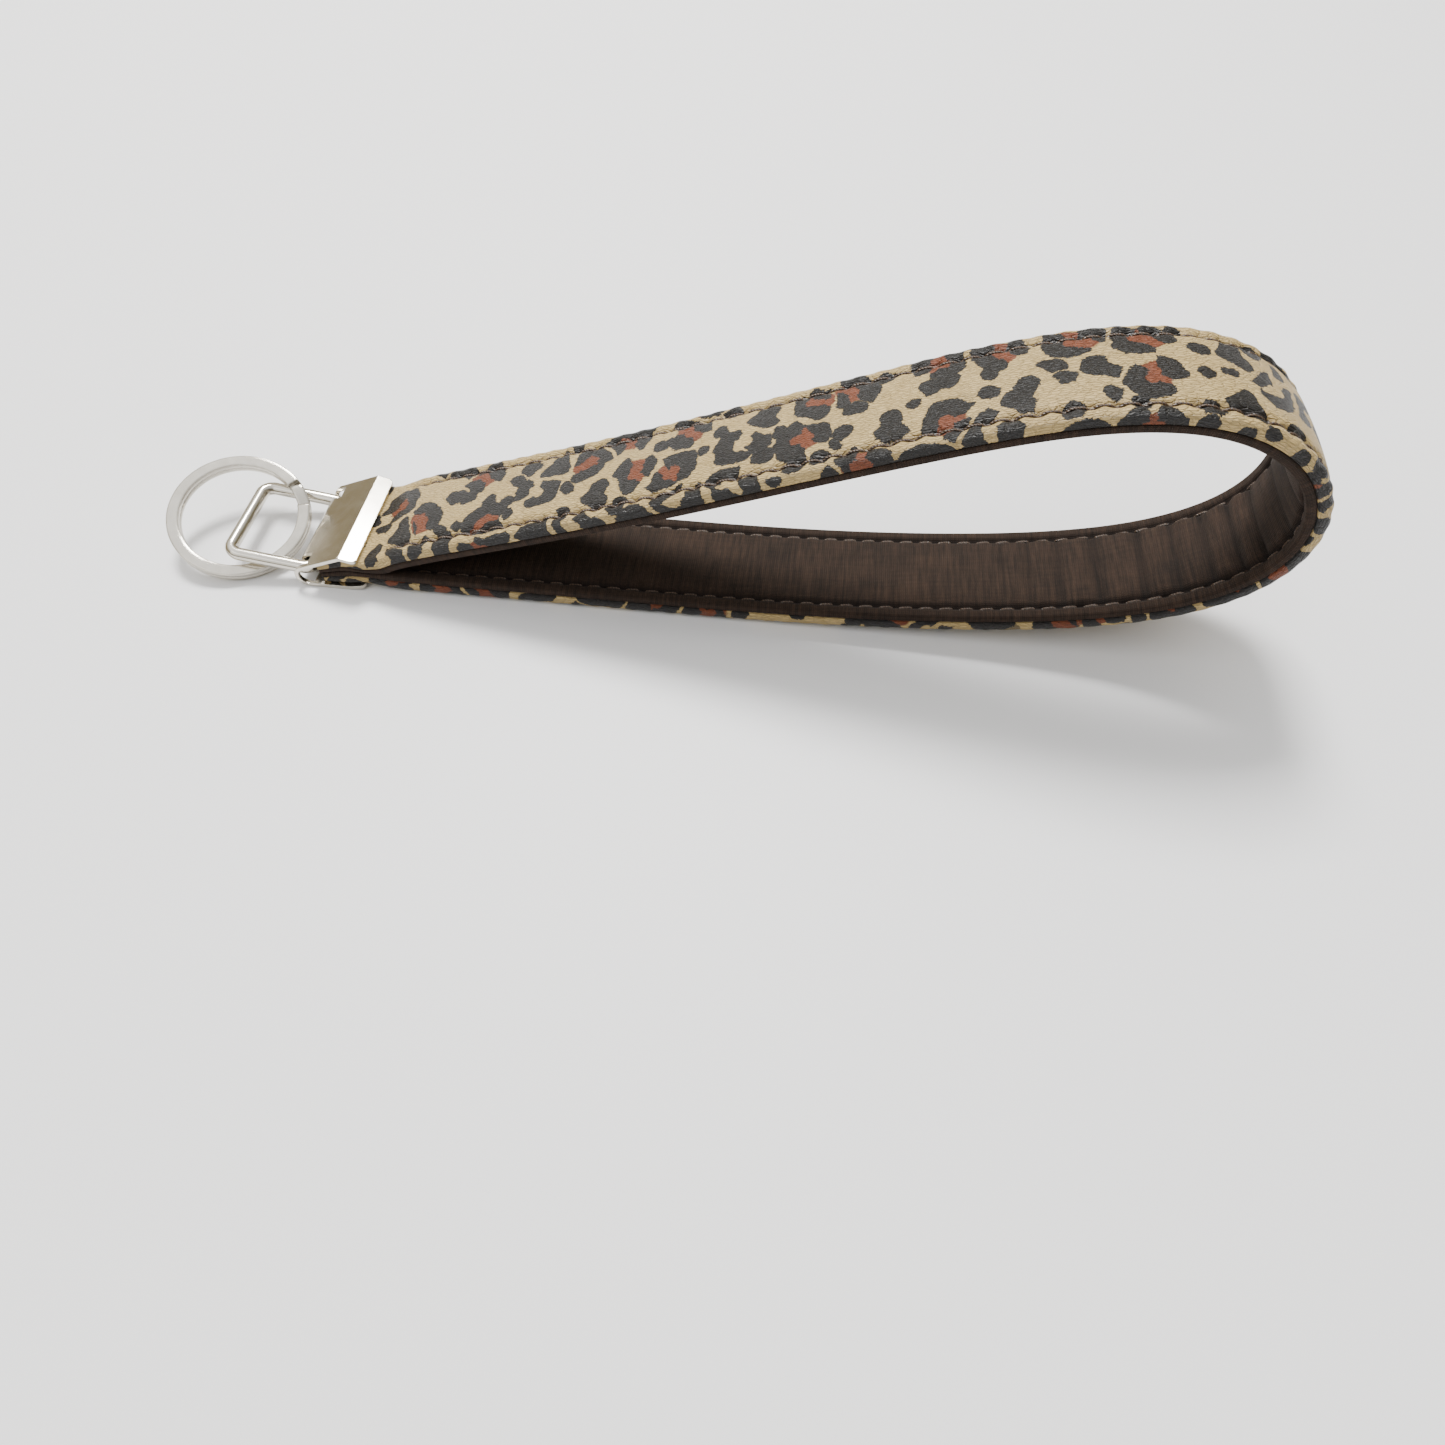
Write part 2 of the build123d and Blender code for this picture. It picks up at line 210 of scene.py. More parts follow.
def strap_run(count):
    """Leather side and lining side of the strap at evenly spaced stations, and how free
    each station is of the clamp's squeeze, from 0 to 1."""
    path = spline_run(LOOP_POLYGON, 1600)
    step = np.linalg.norm(np.diff(path, axis=0), axis=1)
    length = np.concatenate([[0.0], np.cumsum(step)])
    slope = np.gradient(path, axis=0)
    slope /= np.linalg.norm(slope, axis=1)[:, None]
    free = np.clip(np.minimum(length, length[-1] - length) / RECOVER_L, 0, 1)
    ease = free * free * (3 - 2 * free)
    mouth = 0.5 * (jaw_top(0.0) + jaw_low(0.0))
    squeezed = np.minimum(np.abs(path[:, 1] - mouth) - SQUEEZE_GAP, STRAP_T)
    thick = ease * STRAP_T + (1 - ease) * squeezed
    inward = np.stack([slope[:, 1] * np.clip(free * 3, 0, 1), -slope[:, 0]], 1)
    inward /= np.linalg.norm(inward, axis=1)[:, None]
    lining = path + inward * thick[:, None]
    near = free < 1.0
    upper = path[:, 1] > mouth
    lining[near & upper, 1] = np.maximum(lining[near & upper, 1], mouth + SQUEEZE_GAP)
    lining[near & ~upper, 1] = np.minimum(lining[near & ~upper, 1], mouth - SQUEEZE_GAP)
    x = np.linspace(INNER_END, 0.0, INSIDE_STATIONS, endpoint=False)
    middle = 0.5 * (jaw_top(x) + jaw_low(x))
    head = np.stack([x, jaw_top(x) - SQUEEZE_GAP], 1), np.stack([x, middle + SQUEEZE_GAP], 1)
    tail = np.stack([x, jaw_low(x) + SQUEEZE_GAP], 1), np.stack([x, middle - SQUEEZE_GAP], 1)
    tail = tail[0][::-1], tail[1][::-1]
    outer = np.concatenate([head[0], path, tail[0]])
    inner = np.concatenate([head[1], lining, tail[1]])
    free = np.concatenate([np.zeros(INSIDE_STATIONS), ease, np.zeros(INSIDE_STATIONS)])
    along = np.concatenate([[0.0], np.cumsum(np.linalg.norm(np.diff(outer, axis=0), axis=1))])
    even = np.linspace(0.0, along[-1], count)
    pick = lambda column: np.interp(even, along, column)
    outer = np.stack([pick(outer[:, 0]), pick(outer[:, 1])], 1)
    inner = np.stack([pick(inner[:, 0]), pick(inner[:, 1])], 1)
    return even, outer, inner, pick(free)


STATIONS = 860
RUN, OUTER, INNER, FREE = strap_run(STATIONS)
CUT_L = float(RUN[-1])
print("strap cut length", round(CUT_L, 1), "mm")

# %% [markdown]
# A cross-section is a closed list of (across, depth) points. Carrying it along the run gives
# a grid of vertices: rows are stations, columns are points of the section. Folding along the
# way (furrows, puckers, creases) is a third array, a lift away from the lining, in mm.


# %% carrying a section along the strap
def carry(name, across, depth, lift, reach, painted_shade):
    """across, depth: section points. A grid point lies at the leather side plus depth times
    the way to the lining, pushed outwards by lift and sideways by reach (both mm, per grid
    point). UV is (length along, length across) in metres, so patterns follow the surface.
    The last argument, 0 to 1, says how deep in a furrow or fold a point sits; it is stored on the
    points, and the materials paint shade there by that share."""
    way = INNER - OUTER
    thick = np.linalg.norm(way, axis=1)
    out = -way / thick[:, None]
    flat = OUTER[:, None, :] + way[:, None, :] * depth[None, :, None]
    flat = flat + out[:, None, :] * lift[:, :, None]
    points = np.empty(flat.shape[:2] + (3,))
    points[..., 0] = flat[..., 0] + MOUTH_X / MM
    points[..., 1] = across[None, :] + reach
    points[..., 2] = flat[..., 1]
    rows, columns = points.shape[:2]
    index = np.arange(rows * columns).reshape(rows, columns)
    nxt = np.roll(index, -1, axis=1)
    quads = np.stack([index[:-1], index[1:], nxt[1:], nxt[:-1]], -1).reshape(-1, 4)
    mesh = bpy.data.meshes.new(name)
    caps = [tuple(index[0].tolist()), tuple(index[-1, ::-1].tolist())]
    mesh.from_pydata((points.reshape(-1, 3) * MM).tolist(), [], quads.tolist() + caps)
    round_way = np.hypot(np.diff(across), np.diff(depth) * STRAP_T)
    girth = np.concatenate([[0.0], np.cumsum(round_way)])
    girth -= girth[len(girth) // 2]
    uv_grid = np.empty((rows, columns, 2))
    uv_grid[..., 0] = RUN[:, None]
    uv_grid[..., 1] = girth[None, :]
    uv_layer = mesh.uv_layers.new(name="follow")
    corner_vertex = np.empty(len(mesh.loops), dtype=np.int32)
    mesh.loops.foreach_get("vertex_index", corner_vertex)
    uv_layer.data.foreach_set("uv", (uv_grid.reshape(-1, 2)[corner_vertex] * MM).ravel())
    # The share of painted shade, stored on each point for the materials.
    deepness = mesh.attributes.new("painted_shade", "FLOAT", "POINT")
    deepness.data.foreach_set("value", np.clip(painted_shade, 0, 1).ravel())
    mesh.polygons.foreach_set("use_smooth", np.ones(len(mesh.polygons), dtype=bool))
    mesh.update()
    piece = bpy.data.objects.new(name, mesh)
    bpy.context.scene.collection.objects.link(piece)
    face_out(piece)
    mesh.calc_loop_triangles()
    print(name, rows, "x", columns, "points,", len(mesh.loop_triangles), "triangles")
    return piece


def face_out(piece):
    """Adds up the signed volume of all triangles (a.b x c / 6) and turns the faces if it is
    negative, so that they point outwards."""
    mesh = piece.data
    mesh.calc_loop_triangles()
    corners = np.empty(len(mesh.loop_triangles) * 3, dtype=np.int32)
    mesh.loop_triangles.foreach_get("vertices", corners)
    places = np.empty(len(mesh.vertices) * 3)
    mesh.vertices.foreach_get("co", places)
    a, b, c = places.reshape(-1, 3)[corners.reshape(-1, 3)].transpose(1, 0, 2)
    if (a * np.cross(b, c)).sum() < 0:
        mesh.flip_normals()


def mirrored(across, depth):
    """A half section from its shown middle outwards and back inside, and its mirror image, as
    one loop that starts in the hidden middle, so the seam of the pattern never shows."""
    whole_across = np.concatenate([across[::-1], -across[1:-1]])
    whole_depth = np.concatenate([depth[::-1], depth[1:-1]])
    return whole_across, whole_depth


# %% [markdown]
# Both rows of lockstitches pull the strap in: a furrow runs along each row, deepest where the
# needle went through, and the cloth between two holes stays a little proud. That is a cosine
# along the run times a bell curve across it.

# %% stitch rows
ROW_Y = STRAP_W / 2 - 3.0
STITCH = CUT_L / round(CUT_L / 4.1)          # stitch length, a whole number of stitches
WAVE = np.cos(2 * np.pi * RUN / STITCH)      # 1 at the needle holes
print("stitches in a row", round(CUT_L / STITCH))


FURROW_DEEP, FURROW_WIDE = 1.15, 0.80        # mm, in the leather and in the padding under it


def furrow(across, deep, wide, pulse=0.30):
    """Depth of the stitch furrow: a bell curve across, pulsing along with the stitches."""
    bell = np.exp(-((np.abs(across) - ROW_Y) / wide) ** 2)
    return -deep * bell[None, :] * (1 - pulse + pulse * WAVE[:, None]) * FREE[:, None]


def smooth_noise(rng, count, spacing_mm):
    """Random heights every spacing, joined by cosine blends, along the run."""
    knots = rng.uniform(-1, 1, int(CUT_L / spacing_mm) + 3)
    place = RUN / spacing_mm
    low = place.astype(int)
    blend = 0.5 - 0.5 * np.cos(np.pi * (place - low))
    return knots[low] * (1 - blend) + knots[low + 1] * blend


# %% [markdown]
# The printed faux leather is one strip with both long edges turned round the padding, which
# leaves a plump rolled edge, like piping, that reaches a little over half way down the side.
# The section runs over the face, round the roll, down the side, under the turned-in hem and
# back along the hidden inner side.

# %% leather section
half = STRAP_W / 2
roll_r = 1.45
bow = np.radians(np.linspace(0, 90, 9))
face_y = np.concatenate([np.linspace(0, ROW_Y - 1.7, 9), np.linspace(ROW_Y - 1.5, ROW_Y + 1.3, 19)])
top = np.stack([face_y, np.zeros_like(face_y)], 1)
roll_arc = np.stack([half - roll_r + roll_r * np.sin(bow), roll_r - roll_r * np.cos(bow)], 1)
side = np.array([(half + 0.03, 1.8), (half, 2.15)])
tuck = np.array([(half - 0.10, 2.42), (half - 0.38, 2.60), (half - 0.8, 2.64)])
hem = np.array([(half - 3.0, 2.64), (half - 6.0, 2.64), (half - 6.0, 2.10), (half - 1.0, 2.10)])
inside = np.array([
    (half - 0.95, 1.7), (half - 1.25, 1.0), (half - 1.8, 0.88), (half - 2.5, 0.88),
    (half - 3.0, 0.88), (half - 3.5, 0.88), (half - 4.2, 0.88), (half - 6.0, 0.88), (0.0, 0.88),
])
half_section = np.concatenate([top, roll_arc, side, tuck, hem, inside])
leather_y, leather_mm = mirrored(half_section[:, 0], half_section[:, 1])
leather_depth = leather_mm / STRAP_T

rng = np.random.default_rng(7)
outside = leather_mm < 2.5
face = (leather_mm < 0.01) & (np.abs(leather_y) < ROW_Y)
roll_part = outside & (np.abs(leather_y) > ROW_Y + 0.3)
lift = furrow(leather_y, FURROW_DEEP, FURROW_WIDE) * (leather_mm < 1.05)[None, :]
plump = 0.34 * (1 - (leather_y / ROW_Y) ** 2).clip(0, 1)
lift += (plump * face)[None, :] * FREE[:, None]
slow = smooth_noise(rng, STATIONS, 11.0) * 0.10 + smooth_noise(rng, STATIONS, 4.3) * 0.035
lift += slow[:, None] * face[None, :] * FREE[:, None]
pressed = np.clip(1 - OUTER[:, 1] / 1.5, 0, 1)      # the lower run is pressed flat on the table
lift = np.where(lift > 0, lift * (1 - 0.9 * pressed)[:, None], lift)
pinch = -0.20 * (0.5 + 0.5 * WAVE) + 0.06 * smooth_noise(rng, STATIONS, 7.0)
reach = 0.35 * pinch[:, None] * (roll_part * np.sign(leather_y))[None, :] * FREE[:, None]
near_row_share = 1.1 * roll_part * (half - np.abs(leather_y)).clip(0, 1)
lift += near_row_share[None, :] * pinch[:, None] * FREE[:, None]
# Painted shade: how far into a stitch furrow each outside point of the leather lies.
painted_shade = -furrow(leather_y, 1.0, 0.62) * outside[None, :]
leather = carry("leather_band", leather_y, leather_depth, lift, reach, painted_shade)
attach(leather, "strap")
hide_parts("outer_band")

# %% [markdown]
# The lining is a strip of dark brown cotton with its edges turned under, a hair narrower than
# the leather. On the inner side of a bend cloth has too much length, so round the far end it
# gathers in creases across the strap, which start from the stitch rows.

# %% lining section
edge = half - 0.25
soft_r = 0.55
corner = np.radians(np.linspace(0, 90, 6))
lining_face = np.stack([face_y, np.full_like(face_y, 4.40)], 1)
lining_round = np.stack([
    edge - soft_r + soft_r * np.sin(corner), 4.40 - soft_r + soft_r * np.cos(corner)], 1)
lining_side = np.array([(edge + 0.02, 3.3), (edge - 0.02, 2.95), (edge - 0.25, 2.69)])
lining_hem = np.array([
    (half - 3.0, 2.67), (half - 6.0, 2.67), (half - 6.0, 3.38), (half - 1.5, 3.40),
    (half - 1.2, 3.50), (half - 1.5, 3.60), (half - 6.0, 3.62), (0.0, 3.62),
])
half_section = np.concatenate([lining_face, lining_round, lining_side, lining_hem])
lining_y, lining_mm = mirrored(half_section[:, 0], half_section[:, 1])
shown = (lining_mm > 4.3)
between = (np.abs(lining_y) < ROW_Y - 0.2) & shown
lining_puff = 0.70 * (1 - (lining_y / ROW_Y) ** 2).clip(0, 1) ** 0.7 * between
bend_at = np.argmax(OUTER[:, 0])
bend_mm = RUN - RUN[bend_at]
in_bend = 0.05 + 0.95 * np.exp(-((bend_mm - 22.0) / 34.0) ** 2)
crease_phase = RUN * 2 * np.pi / 6.8 + 1.6 * smooth_noise(rng, STATIONS, 9.0)
crease = np.abs(np.sin(crease_phase / 2)) ** 0.6 - 0.7
crease = crease * (1.0 + 0.5 * smooth_noise(rng, STATIONS, 8.0))
near_row = np.exp(-((np.abs(lining_y) - ROW_Y + 1.6) / 2.6) ** 2)
gather = (0.72 + 0.28 * near_row) * between
lift = -furrow(lining_y, 0.70, 0.66, 0.16) * shown[None, :]
lift -= lining_puff[None, :] * FREE[:, None]
lift -= 1.25 * (in_bend * crease)[:, None] * gather[None, :]
pucker = 0.07 * WAVE[:, None] * np.exp(-((np.abs(lining_y) - ROW_Y + 1.0) / 0.9) ** 2)[None, :]
lift += pucker * shown[None, :] * FREE[:, None]
reach = np.zeros_like(lift)
# Painted shade: the share is largest in the crease valleys round the far bend and along the stitch
# furrows.
valley = np.clip(0.30 - 1.6 * crease, 0, 1.4)[:, None] * in_bend[:, None] * gather[None, :]
painted_shade = valley - furrow(lining_y, 0.9, 0.75, 0.15) * shown[None, :]
lining = carry("lining_strip", lining_y, lining_mm / STRAP_T, lift, reach, painted_shade)
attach(lining, "strap")
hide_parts("lining_band")

# %% [markdown]
# The padding is a plain soft strip between the two. It only shows at the strap's cut ends
# inside the clamp, so its section is simple, with rounded corners.

# %% padding
pad_half = np.array([
    (0.0, 0.95), (half - 6.3, 0.95), (half - 4.2, 0.95), (half - 3.5, 0.95), (half - 3.0, 0.95),
    (half - 2.5, 0.95), (half - 1.8, 1.0), (half - 1.3, 1.25), (half - 1.25, 1.8),
    (half - 1.6, 2.02), (half - 6.1, 2.04), (half - 6.25, 2.2), (half - 6.3, 3.3), (0.0, 3.5),
])
pad_y, pad_mm = mirrored(pad_half[:, 0], pad_half[:, 1])
still = np.zeros((STATIONS, len(pad_y)))
pad_lift = furrow(pad_y, FURROW_DEEP, FURROW_WIDE) * (pad_mm < 1.05)[None, :]
padding = carry("padding_strip", pad_y, pad_mm / STRAP_T, pad_lift, still, still)
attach(padding, "strap")
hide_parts("padding_core")


# %% [markdown]
# A topstitch seen from above is a row of short strands that dive into the same holes. One
# thread carried along the row, which rises between the holes and sinks at them, gives just
# that: the dives go below the surface and the strands stay on top.

# %% thread rows
def thread_row(name, row_y, depth_share, sign, radius, swing, rest_sink):
    """A tube round a wavy line: the line lies in the furrow, rises by a cosine between two
    holes and swings sideways a little, as a twisted thread does. Eight stations a stitch."""
    stitches = round(CUT_L / STITCH)
    count = stitches * 8 + 1
    run = np.linspace(0.0, CUT_L, count)
    line_x = np.interp(run, RUN, OUTER[:, 0] + (INNER - OUTER)[:, 0] * depth_share)
    line_z = np.interp(run, RUN, OUTER[:, 1] + (INNER - OUTER)[:, 1] * depth_share)
    way = np.stack([np.interp(run, RUN, (INNER - OUTER)[:, k]) for k in (0, 1)], 1)
    way = way / np.linalg.norm(way, axis=1)[:, None] * sign
    hole = np.cos(2 * np.pi * run / STITCH)
    sink = rest_sink + 0.75 * (0.5 + 0.5 * hole) ** 3
    line = np.stack([line_x, np.full(count, row_y), line_z], 1)
    line[:, 0] += way[:, 0] * sink
    line[:, 2] += way[:, 1] * sink
    line[:, 1] += swing * np.sin(2 * np.pi * run / STITCH)
    ahead_way = np.gradient(line, axis=0)
    ahead_way /= np.linalg.norm(ahead_way, axis=1)[:, None]
    side_way = np.cross(ahead_way, np.stack([way[:, 0], np.zeros(count), way[:, 1]], 1))
    side_way /= np.linalg.norm(side_way, axis=1)[:, None]
    rise_way = np.cross(side_way, ahead_way)
    sides = 7
    angle = np.linspace(0, 2 * np.pi, sides, endpoint=False)
    ring = side_way[:, None, :] * np.cos(angle)[None, :, None]
    ring = ring + rise_way[:, None, :] * np.sin(angle)[None, :, None] * 0.85
    points = line[:, None, :] + ring * radius
    points[..., 0] += MOUTH_X / MM
    index = np.arange(count * sides).reshape(count, sides)
    nxt = np.roll(index, -1, axis=1)
    quads = np.stack([index[:-1], index[1:], nxt[1:], nxt[:-1]], -1).reshape(-1, 4)
    caps = [tuple(index[0].tolist()), tuple(index[-1, ::-1].tolist())]
    mesh = bpy.data.meshes.new(name)
    mesh.from_pydata((points.reshape(-1, 3) * MM).tolist(), [], quads.tolist() + caps)
    mesh.polygons.foreach_set("use_smooth", np.ones(len(mesh.polygons), dtype=bool))
    uv = np.empty((count, sides, 2))
    uv[..., 0] = run[:, None]
    uv[..., 1] = (angle / (2 * np.pi))[None, :] * 2.0
    layer = mesh.uv_layers.new(name="follow")
    corner_vertex = np.empty(len(mesh.loops), dtype=np.int32)
    mesh.loops.foreach_get("vertex_index", corner_vertex)
    layer.data.foreach_set("uv", (uv.reshape(-1, 2)[corner_vertex] * MM).ravel())
    mesh.update()
    piece = bpy.data.objects.new(name, mesh)
    bpy.context.scene.collection.objects.link(piece)
    face_out(piece)
    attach(piece, "strap")
    print(name, len(mesh.polygons), "faces")
    return piece


threads = []
for side_name, side_sign in (("front", -1), ("back", 1)):
    needle = thread_row("needle_row_" + side_name, side_sign * ROW_Y, 0.0, 1.0, 0.26, 0.06, 0.42)
    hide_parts("needle_thread_" + side_name)
    bobbin = thread_row("bobbin_row_" + side_name, side_sign * ROW_Y, 1.0, -1.0, 0.25, 0.06, 0.52)
    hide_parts("bobbin_thread_" + side_name)
    threads += [needle, bobbin]


# %% [markdown]
# Materials are written as small sums. This helper keeps them readable: it adds a node, sets
# its fields and links its inputs, and gives back the output, so sums can be nested.

# %% node helper
class Sums:
    """Adds shader nodes to one tree. A value is a number or another node's output."""

    def __init__(self, tree):
        self.tree = tree

    def put(self, node, socket, value):
        target = node.inputs[socket]
        if isinstance(value, bpy.types.NodeSocket):
            self.tree.links.new(value, target)
        else:
            target.default_value = value

    def math(self, operation, a, b=0.0, c=None, clamp=False):
        node = self.tree.nodes.new("ShaderNodeMath")
        node.operation = operation
        node.use_clamp = clamp
        self.put(node, 0, a)
        self.put(node, 1, b)
        if c is not None:
            self.put(node, 2, c)
        return node.outputs[0]

    def vector(self, operation, a, b=(0.0, 0.0, 0.0)):
        node = self.tree.nodes.new("ShaderNodeVectorMath")
        node.operation = operation
        self.put(node, 0, a)
        if operation == "SCALE":
            self.put(node, "Scale", b)
        else:
            self.put(node, 1, b)
        return node.outputs["Value" if operation in ("LENGTH", "DISTANCE") else "Vector"]

    def place(self, kind="UV"):
        return self.tree.nodes.new("ShaderNodeTexCoord").outputs[kind]

    def split(self, value):
        node = self.tree.nodes.new("ShaderNodeSeparateXYZ")
        self.put(node, 0, value)
        return node.outputs[0], node.outputs[1], node.outputs[2]

    def join(self, x=0.0, y=0.0, z=0.0):
        node = self.tree.nodes.new("ShaderNodeCombineXYZ")
        for socket, value in enumerate((x, y, z)):
            self.put(node, socket, value)
        return node.outputs[0]

    def stored(self, name):
        node = self.tree.nodes.new("ShaderNodeAttribute")
        node.attribute_name = name
        return node.outputs["Fac"]

    def noise(self, place, scale, detail=2.0, rough=0.5, colour=False):
        node = self.tree.nodes.new("ShaderNodeTexNoise")
        self.put(node, "Vector", place)
        node.inputs["Scale"].default_value = scale
        node.inputs["Detail"].default_value = detail
        node.inputs["Roughness"].default_value = rough
        return node.outputs["Color" if colour else "Fac"]

    def cells(self, place, scale, feature="F1", random=1.0, flat=True):
        node = self.tree.nodes.new("ShaderNodeTexVoronoi")
        node.voronoi_dimensions = "2D" if flat else "3D"
        node.feature = feature
        self.put(node, "Vector", place)
        node.inputs["Scale"].default_value = scale
        node.inputs["Randomness"].default_value = random
        return node

    def step(self, value, low, high):
        node = self.tree.nodes.new("ShaderNodeMapRange")
        node.interpolation_type = "SMOOTHSTEP"
        self.put(node, "Value", value)
        self.put(node, "From Min", low)
        self.put(node, "From Max", high)
        return node.outputs[0]

    def mix(self, share, a, b):
        node = self.tree.nodes.new("ShaderNodeMix")
        node.data_type = "RGBA"
        self.put(node, "Factor", share)
        for socket, value in ((6, a), (7, b)):
            if isinstance(value, tuple):
                value = value + (1.0,) if len(value) == 3 else value
            self.put(node, socket, value)
        return node.outputs[2]

    def bump(self, height, distance, strength=1.0, normal=None):
        node = self.tree.nodes.new("ShaderNodeBump")
        self.put(node, "Height", height)
        node.inputs["Distance"].default_value = distance
        node.inputs["Strength"].default_value = strength
        if normal is not None:
            self.put(node, "Normal", normal)
        return node.outputs[0]


# %% [markdown]
# The print is a wild cat's coat: rings of two or three thick charcoal lobes round a rust
# patch, with single dark spots between them, on sand. Each ring is drawn round the middle of
# a Voronoi cell: distance from the middle gives the ring, the angle thickens and breaks it
# into lobes, and noise added to the place makes the outlines ragged, as printed fur is.

# %% leather material
leather_material, leather_tree, leather_shader = node_material("printed_faux_leather")
s = Sums(leather_tree)
at_mm = s.vector("SCALE", s.place(), 1000.0)


def wobble(place, scale, size):
    """Moves a place by noise of one scale, at most by about size."""
    shift = s.vector("SUBTRACT", s.noise(place, scale, 2.0, colour=True), (0.5, 0.5, 0.5))
    return s.vector("ADD", place, s.vector("SCALE", shift, size))


ragged = wobble(wobble(wobble(at_mm, 0.14, 4.0), 0.50, 0.8), 2.1, 0.95)
ring_size = 11.6
rings = s.cells(ragged, 1.0 / ring_size, random=0.70)
offset = s.vector("SUBTRACT", ragged, rings.outputs["Position"])
off_x, off_y, _ = s.split(offset)
distance = s.vector("LENGTH", s.join(off_x, off_y, 0.0))
angle = s.math("ARCTAN2", off_y, off_x)
chance_a, chance_b, chance_c = s.split(rings.outputs["Color"])


def wave(times, chance, size):
    """size x sin(times x angle + a chance turn)."""
    turn_part = s.math("MULTIPLY_ADD", chance, 6.283, s.math("MULTIPLY", angle, times))
    return s.math("MULTIPLY", s.math("SINE", turn_part), size)


lobes = s.math("ADD", wave(3.0, chance_a, 0.62), wave(2.0, chance_b, 0.48))
lobe_full = s.step(lobes, -0.85, -0.25)            # 0 in the gaps between lobes
half_width = s.math("MULTIPLY_ADD", lobe_full, 2.35, -0.45)
ring_r = s.math("ADD", wave(2.0, chance_c, 0.45), 3.55)
from_ring = s.math("ABSOLUTE", s.math("SUBTRACT", distance, ring_r))
ring_mask = s.step(s.math("SUBTRACT", half_width, from_ring), -0.10, 0.10)
solid_r = s.math("MULTIPLY_ADD", lobes, 1.25, 3.4)
solid_mask = s.step(s.math("SUBTRACT", solid_r, distance), -0.10, 0.10)
is_solid = s.step(chance_a, 0.76, 0.77)
dark = s.math("ADD", s.math("MULTIPLY", ring_mask, s.math("SUBTRACT", 1.0, is_solid)),
              s.math("MULTIPLY", solid_mask, is_solid))
borders = s.cells(ragged, 1.0 / ring_size, "DISTANCE_TO_EDGE", random=0.70)
to_border = s.math("MULTIPLY", borders.outputs["Distance"], ring_size)
dark = s.math("MULTIPLY", dark, s.step(to_border, 0.30, 0.50))
spot_size = 6.3
fill_spots = s.cells(wobble(ragged, 0.3, 1.5), 1.0 / spot_size, random=0.9)
_, spot_chance, _ = s.split(fill_spots.outputs["Color"])
spot_r = s.math("MULTIPLY_ADD", spot_chance, 1.0, 1.45)
spot_distance = s.math("MULTIPLY", fill_spots.outputs["Distance"], spot_size)
spot_mask = s.step(s.math("SUBTRACT", spot_r, spot_distance), -0.10, 0.10)
rings_there = s.cells(fill_spots.outputs["Position"], 1.0 / ring_size, random=0.70)
room = s.math("MULTIPLY", rings_there.outputs["Distance"], ring_size)
spot_mask = s.math("MULTIPLY", spot_mask, s.step(room, 5.3, 5.4))
dark = s.math("MAXIMUM", dark, spot_mask)
rust = s.step(s.math("SUBTRACT", ring_r, distance), -0.15, 0.25)
rust = s.math("MULTIPLY", rust, s.math("SUBTRACT", 1.0, is_solid))
rust = s.math("MULTIPLY", rust, s.step(chance_b, 0.22, 0.23))
cloudy = s.noise(at_mm, 0.22, 3.0)
sand = s.mix(cloudy, (0.46, 0.32, 0.128), (0.60, 0.445, 0.205))
rust_tone = s.mix(s.noise(at_mm, 0.8, 2.0), (0.14, 0.034, 0.013), (0.22, 0.060, 0.021))
charcoal = s.mix(s.noise(at_mm, 1.3, 3.0), (0.006, 0.006, 0.006), (0.020, 0.019, 0.019))
colour = s.mix(rust, sand, rust_tone)
colour = s.mix(dark, colour, charcoal)
long_x, long_y, _ = s.split(at_mm)
stretched = s.join(s.math("MULTIPLY", long_x, 0.42), s.math("MULTIPLY", long_y, 1.45), 0.0)
pebbles = s.cells(wobble(stretched, 1.2, 0.5), 1.35, "DISTANCE_TO_EDGE").outputs["Distance"]
pebble_top = s.step(pebbles, 0.0, 0.22)
wrinkle = s.noise(stretched, 2.6, 3.0, 0.6)
grain = s.math("MULTIPLY_ADD", wrinkle, 0.9, s.math("MULTIPLY", pebble_top, 0.55))
# The pits between the pebbles are made a darker brown.
in_grain = s.math("MULTIPLY", s.math("SUBTRACT", 1.0, pebble_top), 0.16)
pits_and_painted_shade = s.mix(in_grain, colour, (0.05, 0.035, 0.02))
# Painted shade: the colour is darkened in the stitch furrows by the stored share.
pits_and_painted_shade = s.mix(s.math("MULTIPLY", s.stored("painted_shade"), 0.62), pits_and_painted_shade, (0.020, 0.012, 0.008))
leather_tree.links.new(pits_and_painted_shade, leather_shader.inputs["Base Color"])
gloss = s.math("MULTIPLY_ADD", wrinkle, 0.22, s.math("MULTIPLY_ADD", dark, -0.06, 0.34))
leather_tree.links.new(gloss, leather_shader.inputs["Roughness"])
leather_shader.inputs["Specular IOR Level"].default_value = 0.36
leather_shader.inputs["Coat Weight"].default_value = 0.04
leather_shader.inputs["Coat Roughness"].default_value = 0.35
leather_tree.links.new(s.bump(grain, 0.00042, 1.0), leather_shader.inputs["Normal"])
leather.data.materials.append(leather_material)

# %% [markdown]
# The lining is a plain cotton weave: warp threads along the strap and weft threads across it,
# each about a third of a millimetre. The weft is uneven, so lines show across the strap. Two
# sine waves give the threads, noise stretched across the strap gives the streaks, and a little
# sheen stands for the fuzz.

